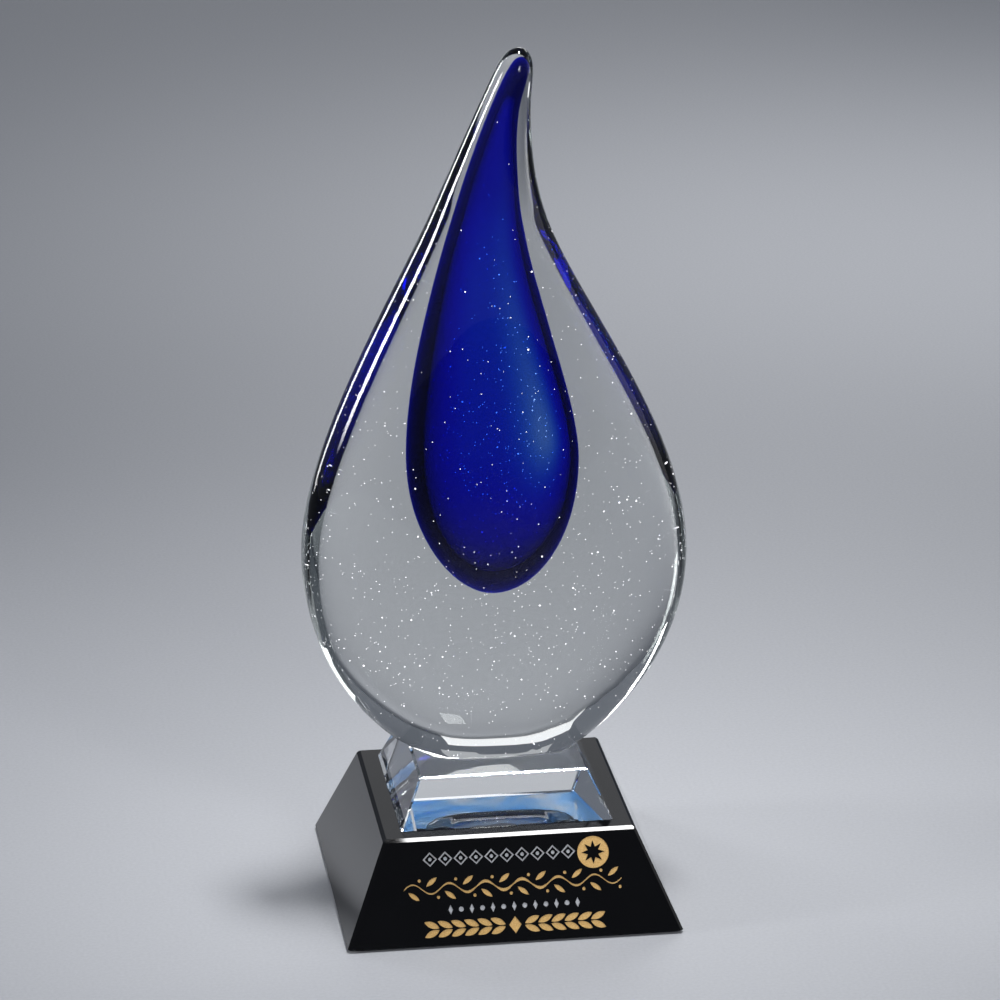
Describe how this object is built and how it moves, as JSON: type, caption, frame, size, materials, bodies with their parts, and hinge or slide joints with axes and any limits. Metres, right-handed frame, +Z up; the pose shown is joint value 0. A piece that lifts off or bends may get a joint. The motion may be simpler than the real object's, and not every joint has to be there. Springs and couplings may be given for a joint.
{
  "type": "crystal award",
  "caption": "Free-standing cased-glass teardrop with a coloured core, on a clear riser and a black pyramid base with colour-filled ornament.",
  "frame": {"origin": "centre of the felt pad's underside, on the axis of the square base", "axes": "+Z up, -Y towards the viewer of the engraved face, +X to that viewer's right, where the tip leans"},
  "size_m": [0.1178, 0.1016, 0.2625],
  "materials": {
    "felt": "short pressed pile",
    "black_crystal": "polished black optical glass",
    "silver_fill": "satin colour fill in a blasted recess",
    "gold_fill": "satin colour fill in a blasted recess",
    "clear_glue": "clear cured film",
    "clear_crystal": "cut and polished optical crystal",
    "casing_glass": "fire-polished, with fine seed bubbles",
    "cobalt_glass": "cobalt layer inside clear glass"
  },
  "bodies": {
    "root": {"felt_pad": "felt", "black_base": "black_crystal", "silver_lozenge_fill": "silver_fill", "gold_disc_fill": "gold_fill", "gold_vine_fill": "gold_fill", "silver_bead_fill": "silver_fill", "gold_laurel_fill": "gold_fill", "riser_glue": "clear_glue", "crystal_riser": "clear_crystal", "drop_glue": "clear_glue", "glass_casing": "casing_glass", "blue_layer": "cobalt_glass", "clear_heart": "casing_glass"}
  },
  "joints": []
}
